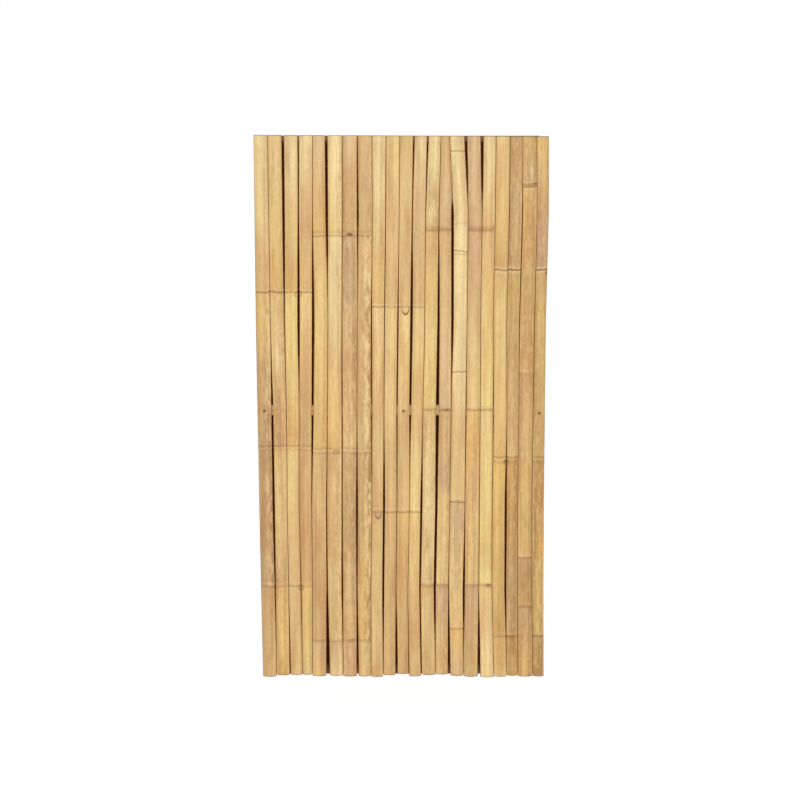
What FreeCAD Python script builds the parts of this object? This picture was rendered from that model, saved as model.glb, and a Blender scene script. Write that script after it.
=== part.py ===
import FreeCAD, Part
import math
import os

# A panel of bamboo slats, standing upright with its skin side towards -Y.
# Each culm is split lengthwise in four, and its slats lie side by side.
# One rail crosses behind the slats at mid height, and wires thread them from edge to edge.
# Round stretches are arcs, cut into a few flat facets each. Lengths are in millimetres.

# Driving sizes of the panel
panel_height = 1800.0
panel_width = 942.7
left_side_x = (-460.0, -466.0, -469.7, -470.0)
head_fall = 4.0

# Driving sizes of a slat
split_angle = 90.0
wall = 8.0
back_dressing = 1.0
riding_clearance = 0.3

# Driving sizes of a node: the ridge on the skin, and the septum cut back inside
node_ridge = 1.4
node_rise = 5.0
node_fade = 10.0
septum_share = 0.55
end_margin = 4.0

# Driving sizes of the rail
rail_above_middle = 5.0
rail_height = 34.0
rail_radius = 30.0
rail_depth = 9.0
rail_seat = 10.0
rail_inset = 12.0
rail_nodes = (-265.0, 95.0, 430.0)

# Driving sizes of the nails: the slats they hold, and how far below the rail's middle
nail_drops = {1: 0.0, 11: 1.0, 21: 8.0}
nail_diameter = 2.5
nail_head_diameter = 5.5
nail_head_thickness = 1.2
nail_head_sunk = 0.6
nail_point = 3.0
nail_point_radius = 0.3
nail_tip_cover = 1.5
nail_clearance = 0.15

# Driving sizes of the wires
foot_wire_margin = 110.0
lower_wire_share = 0.28
upper_wire_share = 2 / 3
head_wire_margin = 100.0
wire_diameter = 1.4
wire_clearance = 0.25
wire_bend = 1.5
wire_tail = 12.0

# Heights of the nodes on each culm, measured from the foot of the panel
culm_nodes = {
    "a": (318, 778, 1300),
    "b": (127, 773, 1481),
    "c": (570, 1252),
    "d": (321, 913, 1501),
    "e": (173, 607, 1035, 1431, 1520, 1752),
    "f": (146, 750, 1369),
    "g": (247, 414, 1034, 1645),
}

# Heights where the slats bend, as shares of the panel's height
bend_shares = (0, 1 / 6, 1 / 3, 1 / 2, 2 / 3, 0.86, 1)

# Heights where the panel's left side and the width of a slat are given, as shares of the
# panel's height
width_shares = (0, 1 / 3, 2 / 3, 1)

# The slats from left to right. Each has its culm, its widths from the foot up,
# how far its foot ends above the lowest foot, and the gaps to the next slat from the foot up.
# Where the gap is negative, the next slat rides over this one.
slats = [
    ("a", (45.3, 45.5, 46.8, 45), 2, (1.5, 3.5, 5.5, 5.2, 1.3, 0.6, 0.8)),
    ("a", (43, 41.5, 44, 45), 7, (4, 2, 0.6, 2, 2.8, 6.2, 6.5)),
    ("a", (39, 38.5, 41.5, 44.5), 8, (1.6, 3, 0.6, 1.3, 6.2, 3.5, 3.8)),
    ("a", (31, 40.5, 41, 43.5), 8, (1, 1.3, 2.7, 5.2, 6.3, 2.2, 1)),
    ("b", (46.5, 46, 45, 39.5), 4, (12, 3.9, 3, 1.5, 0.6, 6.2, 7)),
    ("b", (44, 49, 44, 49), 5, (0.7, 4.2, 3, 3, 2.3, 1.5, 0.6)),
    ("b", (46, 44.5, 48.5, 45), 3, (5.5, 3.5, 5, 1.7, 0.6, 4.4, 3)),
    ("b", (41.5, 46.5, 44, 45), 3, (1.5, 1.4, 1.8, 3.2, 3.5, 0.6, 2)),
    ("c", (38.5, 36.5, 39.5, 43), 1, (2.2, 5.2, 5.4, 2, 2.8, 2.5, 2)),
    ("c", (40, 39, 40.5, 43), 7, (7.5, 2.2, 2.4, 3.6, 3.9, 0.6, 0.8)),
    ("c", (36, 39.5, 39, 42.5), 11, (3.2, 0.9, 1, 5, 6.4, 2.8, 4.4)),
    ("c", (38.5, 36.5, 39.5, 40.5), 3, (3.8, 4, 5.2, 1.4, 1.2, 2.4, 4.6)),
    ("d", (45, 44, 41.5, 40), 8, (0.7, 6, 6, 9, 5.6, 2.6, 0.6)),
    ("d", (42, 41, 39.5, 39), 10, (7.5, 2.7, 1.2, 1, 6, 6.5, -14)),
    ("e", (45, 48.5, 44.5, 49), 5, (0.8, 5.6, 1.6, 3.2, 0.8, 1.2, 8.3)),
    ("d", (46.5, 46, 43, 44), 2, (8.3, 1.8, 1.8, 1.5, 1, 2, 9)),
    ("d", (45, 41.5, 40, 40.5), 0, (1.8, 0.6, 0.6, 3.2, 0.8, 0.8, 0.6)),
    ("f", (41.5, 41.5, 43.5, 45), 2, (1, 4.8, 5.2, 1, 1, 2.6, 0.6)),
    ("f", (36.5, 36, 39.5, 39.5), 5, (0.8, 2, 1.4, 0.6, 2.7, 3, 0.7)),
    ("g", (48.5, 46, 47.5, 44), 3, (1.5, 1.5, 1.4, 1.5, 0.6, 0.6, 0.8)),
    ("f", (36.5, 39, 36.5, 38.5), 3, None),
]

# How much wider the panel is than the table's slats and gaps, which are summed at the foot
table_width = sum(widths[0] + (gaps[0] if gaps else 0) for _, widths, _, gaps in slats)
spread = panel_width / table_width

# How many flat facets each round stretch has
skin_facets = 5
hollow_facets = 3
rail_skin_facets = 2
round_facets = 8
hole_facets = 6
bend_facets = 3

# How far four points may stray from one plane and still be one facet
flatness = 1e-6

half_angle = math.radians(split_angle / 2)
corner_height = wall * math.cos(half_angle) - back_dressing
wire_height = corner_height / 2
rail_z = panel_height / 2 + rail_above_middle

# The heights of the wires: near the foot and the head, and at shares of the height between
wire_rows = {
    "foot_wire": foot_wire_margin,
    "lower_wire": panel_height * lower_wire_share,
    "upper_wire": panel_height * upper_wire_share,
    "head_wire": panel_height - head_wire_margin,
}


def between(values, shares, share):
    """The value at a share of the height, on straight lines between the given values."""
    for low, high, first, last in zip(shares, shares[1:], values, values[1:]):
        if share <= high:
            return first + (last - first) * (share - low) / (high - low)
    return values[-1]


def facets_between(lower, upper):
    """The facets from one section to the next: one where the four corners are flat, else two."""
    facets = []
    for start, end, start_above, end_above in zip(
            lower, lower[1:] + lower[:1], upper, upper[1:] + upper[:1]):
        normal = (end - start).cross(start_above - start)
        if abs(normal.normalize().dot(end_above - start)) < flatness:
            corners = [(start, end, end_above, start_above)]
        else:
            corners = [(start, end, end_above), (start, end_above, start_above)]
        facets += [Part.Face(Part.makePolygon([*points, points[0]])) for points in corners]
    return facets


def faceted_loft(sections):
    """A solid through closed sections of equally many points, with flat facets in between."""
    ends = (sections[0], sections[-1])
    faces = [Part.Face(Part.makePolygon(section + section[:1])) for section in ends]
    for lower, upper in zip(sections, sections[1:]):
        faces += facets_between(lower, upper)
    solid = Part.Solid(Part.Shell(faces))
    if solid.Volume < 0:
        solid.reverse()
    return solid


def ring(centre, across, along, facets):
    """Points around a centre, in the plane of two given radii."""
    turns = [2 * math.pi * (step + 0.5) / facets for step in range(facets)]
    return [centre + across * math.cos(turn) + along * math.sin(turn) for turn in turns]


def rod(start, direction, radius, length, facets):
    """A straight round rod or drill hole that starts at a point."""
    across = FreeCAD.Vector(0, 0, radius)
    along = direction.cross(across)
    end = start + direction * length
    return faceted_loft([ring(start, across, along, facets), ring(end, across, along, facets)])


def slat_width(index, z):
    return spread * between(slats[index][1], width_shares, z / panel_height)


def slat_left(index, z):
    """The left side of a slat: the panel's side, and the slats and gaps laid from there."""
    x = spread * between(left_side_x, width_shares, z / panel_height)
    for number in range(index):
        x += slat_width(number, z)
        x += spread * between(slats[number][3], bend_shares, z / panel_height)
    return x


def slat_middle(index, z):
    return slat_left(index, z) + slat_width(index, z) / 2


def slat_depth(index, z):
    """The height of the crown above the back of the slat."""
    radius = slat_width(index, z) / 2 / math.sin(half_angle)
    return radius - (radius - wall) * math.cos(half_angle) - back_dressing


def slat_lift(index, z):
    """How far a slat stands forward, where it rides over the slat on its left."""
    if index == 0:
        return 0.0
    lifts = []
    for station, gap in zip(bend_shares, slats[index - 1][3]):
        rides = gap < 0
        depth = slat_depth(index - 1, station * panel_height)
        lifts.append(depth + riding_clearance if rides else 0.0)
    return between(lifts, bend_shares, z / panel_height)


def slat_ends(index):
    """The heights of a slat's foot and head."""
    foot = slats[index][2]
    head = panel_height - head_fall * index / (len(slats) - 1)
    return foot, head


def slat_levels(index):
    """The heights of a slat's sections, each with its share of the node's full form."""
    foot, head = slat_ends(index)
    nodes = [
        z for z in culm_nodes[slats[index][0]]
        if foot + node_rise + end_margin < z < head - node_fade - end_margin
    ]
    levels = {foot: 0, head: 0}
    for share in bend_shares[1:-1]:
        z = share * panel_height
        if all(abs(z - node) > node_rise + node_fade for node in nodes):
            levels[z] = 0
    for z in nodes:
        levels[z - node_rise] = 0
        levels[z] = 1
        levels[z + node_fade] = 0
    return sorted(levels.items())


def slat_section(index, z, node):
    """A quarter of the culm's ring, with its inner corners planed to the back of the panel."""
    x = slat_middle(index, z)
    half = slat_width(index, z) / 2
    lift = slat_lift(index, z)
    inner_radius = half / math.sin(half_angle) - wall
    axis_depth = inner_radius * math.cos(half_angle) + back_dressing
    ridge = node * node_ridge
    corner = corner_height + ridge
    crown = slat_depth(index, z) + ridge
    hollow = (inner_radius - axis_depth) * (1 - node * septum_share)
    outer_foot = axis_depth * math.tan(half_angle)
    inner_foot = math.sqrt(inner_radius ** 2 - axis_depth ** 2)

    def point(across, forward):
        return FreeCAD.Vector(x + across, -lift - forward, z)

    skin = Part.Arc(point(-half, corner), point(0, crown), point(half, corner))
    inside = Part.Arc(point(inner_foot, 0), point(0, hollow), point(-inner_foot, 0))
    return [
        *skin.discretize(skin_facets + 1),
        point(outer_foot, 0),
        *inside.discretize(hollow_facets + 1),
        point(-outer_foot, 0),
    ]


def wire_hole(index, z):
    """The hole for a wire, drilled from one side of a slat to the other."""
    start = FreeCAD.Vector(slat_left(index, z) - wall, -wire_height, z)
    length = slat_width(index, z) + 2 * wall
    radius = wire_diameter / 2 + wire_clearance
    return rod(start, FreeCAD.Vector(1, 0, 0), radius, length, hole_facets)


def nail_place(index):
    """Where the underside of a nail's head meets its slat."""
    z = rail_z - nail_drops[index + 1]
    return FreeCAD.Vector(slat_middle(index, z), nail_head_sunk - slat_depth(index, z), z)


def nail_hole(index):
    """The hole of a nail through the slat and into the rail, with the dent under its head."""
    seat = nail_place(index)
    tip = rail_depth - nail_tip_cover
    back = FreeCAD.Vector(0, 1, 0)
    shank_radius = nail_diameter / 2 + nail_clearance
    head_radius = nail_head_diameter / 2 + nail_clearance
    shank_length = tip + nail_clearance - seat.y
    dent_start = seat - back * nail_head_thickness
    shank = rod(seat, back, shank_radius, shank_length, round_facets)
    dent = rod(dent_start, back, head_radius, nail_head_thickness, round_facets)
    return shank.fuse(dent)


def make_slat(index):
    sections = [slat_section(index, z, node) for z, node in slat_levels(index)]
    slat = faceted_loft(sections)
    for z in wire_rows.values():
        slat = slat.cut(wire_hole(index, z))
    if index + 1 in nail_drops:
        slat = slat.cut(nail_hole(index))
    return slat


def rail_section(x, node):
    """A split strip with its skin to the front, planed to a seat in front and flat behind."""
    radius = rail_radius + node * node_ridge
    axis_y = math.sqrt(rail_radius ** 2 - (rail_seat / 2) ** 2)
    edge_angle = math.asin(rail_height / 2 / rail_radius)
    seat = math.sqrt(radius ** 2 - axis_y ** 2)
    seat_angle = math.asin(seat / radius)
    back = (axis_y - rail_depth) * math.tan(edge_angle)

    def on_skin(angle):
        up = radius * math.sin(angle)
        return FreeCAD.Vector(x, axis_y - radius * math.cos(angle), rail_z + up)

    middle_angle = (seat_angle + edge_angle) / 2
    upper_skin = Part.Arc(on_skin(seat_angle), on_skin(middle_angle), on_skin(edge_angle))
    lower_skin = Part.Arc(on_skin(-edge_angle), on_skin(-middle_angle), on_skin(-seat_angle))
    return [
        *upper_skin.discretize(rail_skin_facets + 1),
        FreeCAD.Vector(x, rail_depth, rail_z + back),
        FreeCAD.Vector(x, rail_depth, rail_z - back),
        *lower_skin.discretize(rail_skin_facets + 1),
    ]


def make_rail():
    last = len(slats) - 1
    start = slat_left(0, rail_z) + rail_inset
    end = slat_left(last, rail_z) + slat_width(last, rail_z) - rail_inset
    levels = [(start, 0), (end, 0)]
    for node in rail_nodes:
        x = spread * node
        levels += [(x - node_rise, 0), (x, 1), (x + node_fade, 0)]
    sections = [rail_section(x, node) for x, node in sorted(levels)]
    rail = faceted_loft(sections)
    for number in nail_drops:
        rail = rail.cut(nail_hole(number - 1))
    return rail


def make_nail(index):
    """A round nail with a flat head and a point."""
    seat = nail_place(index)
    tip = rail_depth - nail_tip_cover
    outline = [
        (nail_head_diameter / 2, seat.y - nail_head_thickness),
        (nail_head_diameter / 2, seat.y),
        (nail_diameter / 2, seat.y),
        (nail_diameter / 2, tip - nail_point),
        (nail_point_radius, tip),
    ]
    return faceted_loft([
        ring(FreeCAD.Vector(seat.x, y, seat.z), FreeCAD.Vector(radius, 0, 0),
             FreeCAD.Vector(0, 0, radius), round_facets)
        for radius, y in outline
    ])


def make_wire(z):
    """A wire through all slats, turned up at both sides of the panel."""
    last = len(slats) - 1
    side_inset = (corner_height - wire_height) * math.tan(half_angle)
    left = slat_left(0, z) + side_inset - wire_clearance
    right = slat_left(last, z) + slat_width(last, z) - side_inset + wire_clearance
    radius = wire_diameter / 2
    forward = FreeCAD.Vector(0, -radius, 0)

    def turned_up(start_x, side, share):
        """The section at a share of the bend that starts at a side of the panel."""
        turn = share * math.pi / 2
        centre = FreeCAD.Vector(
            start_x + side * wire_bend * math.sin(turn), -wire_height,
            z + wire_bend * (1 - math.cos(turn)))
        across = FreeCAD.Vector(-side * math.sin(turn), 0, math.cos(turn)) * radius
        return ring(centre, across, forward, round_facets)

    shares = [step / bend_facets for step in range(bend_facets + 1)]
    up = FreeCAD.Vector(0, 0, wire_tail)
    left_bend = [turned_up(left, -1, share) for share in reversed(shares)]
    right_bend = [turned_up(right, 1, share) for share in shares]
    left_end = [point + up for point in left_bend[0]]
    right_end = [point + up for point in right_bend[-1]]
    return faceted_loft([left_end, *left_bend, *right_bend, right_end])


nodes = {}
for index in range(len(slats)):
    nodes[f"slat_{index + 1:02d}"] = make_slat(index)
nodes["middle_rail"] = make_rail()
nodes["nails"] = Part.makeCompound([make_nail(number - 1) for number in nail_drops])
for name, z in wire_rows.items():
    nodes[name] = make_wire(z)

# The panel stands with the middle of its foot at the origin
box = Part.makeCompound(list(nodes.values())).optimalBoundingBox(False)
to_origin = FreeCAD.Vector(-box.Center.x, -box.Center.y, -box.ZMin)

os.makedirs("parts", exist_ok=True)
for name, shape in nodes.items():
    shape.translate(to_origin)
    shape.exportStep(f"parts/{name}.step")
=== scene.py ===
import math
import random

import bmesh
import bpy
from mathutils import Matrix, Vector, noise


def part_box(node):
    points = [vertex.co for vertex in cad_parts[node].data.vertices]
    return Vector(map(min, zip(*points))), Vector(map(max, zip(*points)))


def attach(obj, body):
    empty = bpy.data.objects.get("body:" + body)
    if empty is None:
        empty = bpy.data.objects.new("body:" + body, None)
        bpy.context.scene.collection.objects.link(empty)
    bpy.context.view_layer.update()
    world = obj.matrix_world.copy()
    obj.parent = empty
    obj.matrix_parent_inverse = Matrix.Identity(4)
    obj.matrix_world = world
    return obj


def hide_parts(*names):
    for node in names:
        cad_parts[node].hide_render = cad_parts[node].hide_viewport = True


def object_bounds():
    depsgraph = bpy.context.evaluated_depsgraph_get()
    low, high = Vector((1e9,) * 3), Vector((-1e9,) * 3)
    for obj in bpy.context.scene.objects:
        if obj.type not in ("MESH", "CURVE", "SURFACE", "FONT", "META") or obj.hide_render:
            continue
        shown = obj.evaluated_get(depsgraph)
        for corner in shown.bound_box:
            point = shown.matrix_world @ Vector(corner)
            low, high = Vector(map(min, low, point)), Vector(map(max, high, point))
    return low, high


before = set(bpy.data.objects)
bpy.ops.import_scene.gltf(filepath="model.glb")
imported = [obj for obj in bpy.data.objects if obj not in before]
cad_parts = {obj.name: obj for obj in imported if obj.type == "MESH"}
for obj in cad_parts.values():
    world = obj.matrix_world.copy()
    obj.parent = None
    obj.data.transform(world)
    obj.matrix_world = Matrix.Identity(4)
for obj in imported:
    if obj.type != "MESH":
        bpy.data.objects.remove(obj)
cad_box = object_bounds()
FRONT, HEAD = cad_box[0][1], cad_box[1][2]

MM = 0.001

# The slats are quarters of a culm with a wall this thick, planed a little at the back.
# The corner height is that of the skin's edges over the back.
WALL = 8 * MM
DRESSING = 1 * MM
QUARTER = math.sin(math.radians(45))
CORNER_HEIGHT = WALL * QUARTER - DRESSING

# A section of a slat in the frame has at least this many corners, and one through a node
# stands out at least this much further than a plain one
SECTION_CORNERS = 11
NODE_RISE = 0.7 * MM

# How finely the slats are modelled
SKIN_STEPS = 18
HOLLOW_STEPS = 8
LONGEST_STEP = 22 * MM
END_STEP = 3 * MM
NODE_STEPS = (-26, -20, -16, -13, -11, -9.5, -8, -6.8, -5.6, -4.6, -3.6, -2.6, -1.6, -0.6,
              0.6, 1.8, 3, 4.4, 6, 7.6, 9.2, 11, 13, 16, 20, 26)
FINE_STEP = 1.6 * MM
LEAST_STEP = 0.55 * MM
NODE_REACH = 26 * MM

# How far the fine steps reach beyond a bud scar, in mm, and round a nail
SCAR_MARGIN = 4
NAIL_SPOT = 9 * MM

# What stands out or sinks in along a node: how far, where from the node's height, and its reach
NODE_LIP = (0.6 * MM, -4.6 * MM, 1.5 * MM)
NODE_GROOVE = (-0.4 * MM, -2.2 * MM, 1.4 * MM)
NODE_RIDGE = (1.0 * MM, 4 * MM, 6 * MM)

# The same of a bud scar's rim and its sunken middle, measured on its ring, which is 0 in the
# middle and 1 at the outline. It shapes the skin out to SCAR_END, and NO_SCAR is clear of it.
SCAR_RIM = (0.7 * MM, 0.85, 0.22)
SCAR_DENT = (-0.5 * MM, 0.0, 0.5)
SCAR_END = 1.4
NO_SCAR = 2.0

# The wall across the hollow at a node: its reach, and the part of the hollow that it fills
SEPTUM_REACH = 3.5 * MM
SEPTUM_FILL = 0.6

# How uneven the skin and its edges are, and how far a node's line bends and tilts
BROAD_BUMPS = 0.22 * MM
FINE_BUMPS = 0.05 * MM
EDGE_WANDER = 0.22 * MM
BROAD_BEND = 3.4 * MM
FINE_BEND = 1.8 * MM
NODE_TILT = 1.6 * MM

# How far the rust reaches round a nail, how rounded the arrises are, and how far each
# slat's grain is moved from its neighbour's
RUST_REACH = 5.4 * MM
SLAT_ARRIS = 0.55 * MM
RAIL_ARRIS = 0.5 * MM
GRAIN_SHIFT = 0.13

# The rail: the steps of each half of its skin, half its flat seat and its culm's radius
RAIL_STEPS = 7
HALF_SEAT = 5 * MM
RAIL_RADIUS = 30 * MM

# A whole section of the rail in the frame has more corners than this and is wider than this,
# and one through a node is at least this much wider than a plain one
RAIL_CORNERS = 5
RAIL_WIDTH = 30 * MM
RAIL_RISE = 1.0 * MM

# How far the line of the rail's nodes bends, and their dark and pale lines, partly painted shade
# and painted highlight, as in NODE_LOOKS
RAIL_BEND = 1.2 * MM
RAIL_DARK_LINES = ((-4.5, 2.6, 0.8),)
RAIL_PALE_LINES = ((4, 3, 0.4),)

# The wire's radius and that of the bends at its ends
WIRE_RADIUS = 0.7 * MM
WIRE_BEND = 1.5 * MM

# The skins close a gap of TIGHT_GAP or less down to LEAST_GAP, and leave one of OPEN_GAP
# or more as it is
TIGHT_GAP = 1.8 * MM
OPEN_GAP = 4.6 * MM
LEAST_GAP = 0.4 * MM

# The share of a slat's half width past which its edges wander and widen
EDGE_START = 0.6

# The photograph's camera, the light, and how brightly the floor and the room glow
CAMERA_PLACE = (-0.0062, -5.695, 1.8)
CAMERA_DIP = 8.58
CAMERA_LENS = 79.07
LIGHT_PLACE = (-0.15, -4.6, 1.15)
LIGHT_AIM = (0.0, 0, 0.75)
LIGHT_SIZE = (3.0, 2.2)
LIGHT_POWER = 93
FLOOR_GLOW = 1.13
FLOOR_GLOW_SHARE = 0.8
ROOM_LIGHT = 0.62

# The dark card, painted shade that stands for the shadow behind the panel: how far it stops
# inside the rail's ends, its foot and head, and how far behind the rail it stands
CARD_INSET = 16 * MM
CARD_FOOT = 6 * MM
CARD_HEAD = 1797.5 * MM
CARD_CLEARANCE = 0.5 * MM

# The materials of a piece of bamboo, in the order in which it is given them, and the angle
# in degrees from which an edge of any piece is a sharp one
SKIN, FLESH, END = range(3)
SHARP_ANGLE = 42

# What the materials of slats and rail read at each corner
SKIN_VALUES = ("across", "node_dark_and_shade", "node_pale_and_highlight", "to_end", "scar_ring", "scar_dark",
               "scar_line", "peeled", "edge_dirt_and_shade", "stain", "grain_shift")


def linear(part):
    """The red, green or blue part of a colour, from 0 to 255, as shaders take it."""
    part /= 255
    return part / 12.92 if part <= 0.04045 else ((part + 0.055) / 1.055) ** 2.4


def shader_colours(card):
    """The colours of a paint card by name, as shaders take them."""
    return {name: (*map(linear, parts), 1.0) for name, parts in card.items()}


# The tones of the bamboo's skin
TONES = shader_colours({
    "pale": (233, 206, 149),
    "cream": (240, 216, 152),
    "bright": (234, 206, 130),
    "straw": (227, 194, 129),
    "wheat": (220, 186, 126),
    "gold": (224, 185, 108),
    "honey": (221, 182, 114),
    "rosy": (215, 176, 119),
    "clay": (210, 165, 108),
    "blush": (216, 180, 132),
    "tan": (208, 169, 114),
    "grey": (198, 161, 111),
    "olive": (201, 165, 100),
    "ochre": (211, 172, 106),
    "amber": (211, 166, 93),
    "umber": (192, 148, 84),
    "bark": (189, 152, 100),
    "orange": (226, 160, 80),
    "dusk": (195, 158, 118),
})

# The paints of wear, dirt and marks, some of them partly painted shade and painted highlight,
# of the split and sawn wood, of the metal and of the card, which is painted shade
PAINTS = shader_colours({
    "rosy cloud": (252, 238, 234),
    "new skin": (238, 210, 150),
    "worn skin": (176, 134, 88),
    "worn edge": (240, 214, 168),
    "edge dirt and shade": (134, 70, 2),
    "node pale line and highlight": (246, 222, 176),
    "node dark line and shade": (120, 62, 26),
    "scar": (226, 188, 140),
    "scar line": (128, 76, 38),
    "scar heart": (112, 74, 42),
    "rust": (128, 74, 36),
    "end_grime_and_shade": (112, 82, 52),
    "dull flesh": (198, 162, 112),
    "pale flesh": (220, 190, 142),
    "flesh fibre": (148, 108, 66),
    "flesh patch": (170, 132, 88),
    "flesh dirt and shade": (116, 58, 8),
    "dull end": (206, 172, 122),
    "pale end": (226, 198, 150),
    "fibre bundle": (120, 84, 50),
    "nail": (50, 35, 26),
    "bright nail": (76, 56, 42),
    "nail rust": (88, 50, 28),
    "wire": (44, 38, 32),
    "bright wire": (64, 57, 49),
    "wire rust": (58, 38, 24),
    # The card's painted shade, and painted light where light gets in at its foot and head
    "card": (48, 22, 3),
    "painted light on card": (140, 108, 84),
})

# Each slat's culm and the tones of its lengths between nodes, from the foot up.
# Two tones joined by > run into each other up that length.
SLATS = {
    1: ("a", "rosy>tan grey grey>honey rosy>pale"),
    2: ("a", "honey tan>straw tan>straw honey>straw"),
    3: ("a", "wheat rosy>straw honey>bright honey>pale"),
    4: ("a", "straw>honey clay>tan tan>straw clay>pale"),
    5: ("b", "straw>blush tan>rosy honey>straw honey>blush"),
    6: ("b", "pale>blush wheat honey>pale straw>pale"),
    7: ("b", "blush tan>grey rosy>grey tan>blush"),
    8: ("b", "straw honey>tan wheat>rosy tan"),
    9: ("c", "wheat wheat>straw honey>pale"),
    10: ("c", "rosy rosy>straw rosy>straw"),
    11: ("c", "rosy>honey rosy>straw rosy>straw"),
    12: ("c", "wheat>straw straw rosy>blush"),
    13: ("d", "wheat>straw pale>straw bright>honey wheat>pale"),
    14: ("d", "wheat>blush straw>tan blush>rosy blush>tan"),
    15: ("e", "blush>honey wheat>blush straw>pale pale pale pale pale"),
    16: ("d", "wheat>blush straw>honey straw>blush blush"),
    17: ("d", "pale>straw bright>straw bright>straw straw>pale"),
    18: ("f", "straw>honey ochre>gold honey>straw honey>straw"),
    19: ("f", "olive>umber grey>umber tan>olive grey>tan"),
    20: ("g", "honey>grey olive>grey ochre>tan ochre grey>olive"),
    21: ("f", "bark olive>umber olive dusk>honey"),
}

# How each culm's nodes look, from the foot up: how sharp the sheath scar is, then the dark lines,
# partly the node's own rings and partly painted shade under its ridge, and the pale lines, partly
# a painted highlight on the ridge, each with its height from the node and half its width in mm,
# and a strength
NODE_LOOKS = {
    "a": (
        (0.8, ((-4.5, 2.6, 0.55),), ((6, 3, 0.25),)),
        (0.6, ((-4, 2.2, 0.35), (10, 2.4, 0.6)), ((3, 3, 0.2),)),
        (1.0, ((-5, 3.0, 0.85),), ((2.5, 2.5, 0.25),)),
    ),
    "b": (
        (0.2, ((-3, 5, 0.3), (4, 2.5, 0.2)), ((-10, 3, 0.1),)),
        (0.3, ((7, 4, 0.35), (-9, 4, 0.3)), ((-1.5, 2.6, 0.5),)),
        (0.3, ((-4, 3.4, 0.55), (9, 4, 0.25)), ((3, 2.5, 0.2),)),
    ),
    "c": (
        (0.8, ((-4.5, 3, 0.65),), ((5, 3, 0.25),)),
        (0.9, ((-5, 2.8, 0.7),), ((0.8, 2.2, 0.6),)),
    ),
    "d": (
        (0.2, ((-5, 7, 0.35),), ((2, 3, 0.1),)),
        (0.4, ((-4.5, 4.5, 0.55), (6, 3, 0.2)), ((1, 2, 0.15),)),
        (0.4, ((-5, 5.5, 0.6), (5, 5, 0.25)), ()),
    ),
    "e": (
        (0.6, ((-6, 3, 0.5),), ((4, 3, 0.3),)),
        (0.8, ((-7.5, 2.8, 0.75),), ((3, 3, 0.35),)),
        (0.9, ((-1.8, 2.2, 0.75),), ((-7, 2.2, 0.8),)),
        (0.8, ((-3, 2.4, 0.6), (-13, 2.6, 0.3)), ((3.5, 2.6, 0.6),)),
        (0.3, ((-3, 3, 0.3),), ((2, 3, 0.1),)),
        (0.9, ((-3.4, 2.6, 0.75),), ((-9, 2.4, 0.3),)),
    ),
    "f": (
        (0.8, ((-5, 3.4, 0.6),), ((4, 3, 0.3),)),
        (0.6, ((1, 3, 0.55), (-16, 5, 0.3)), ((-6, 3, 0.3),)),
        (1.0, ((-0.8, 2.6, 1.0),), ((-8, 3.4, 0.6), (4.6, 3, 0.6))),
    ),
    "g": (
        (0.7, ((-3.5, 4, 0.45),), ((6, 3, 0.2),)),
        (0.7, ((-4.5, 3, 0.5),), ((6, 3, 0.3),)),
        (0.3, ((-9, 3, 0.25),), ((3, 4, 0.2),)),
        (1.0, ((-9.2, 2.6, 1.0), (-2.2, 2.6, 0.8)), ((5, 3, 0.35), (-18, 4, 0.2))),
    ),
}

# How strongly the outer skin has peeled between the nodes, from the foot up
PEELED = {
    1: (0.2, 0.6, 0.6, 0.25),
    2: (0.2, 0.3, 0.35, 0.3),
    6: (0.4, 0.5, 0.2, 0.35),
    7: (0.35, 0.4, 0.4, 0.2),
    8: (0.5, 0.9, 1.0, 0.3),
    13: (0.2, 0.35, 0.15, 0.35),
    14: (0.5, 0.5, 0.3, 0.3),
    15: (0.2, 0.35, 0.15, 0.1, 0.1, 0.1, 0.2),
    16: (0.15, 0.25, 0.15, 0.15),
    19: (0.3, 0.3, 0.25, 0.35),
    20: (0.3, 0.25, 0.25, 0.3, 0.4),
    21: (0.3, 0.4, 0.25, 0.35),
}
USUAL_PEELING = 0.1

# Slats that have peeled most along their right side
PEELED_RIGHT = {1, 6, 8, 14}

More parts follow.
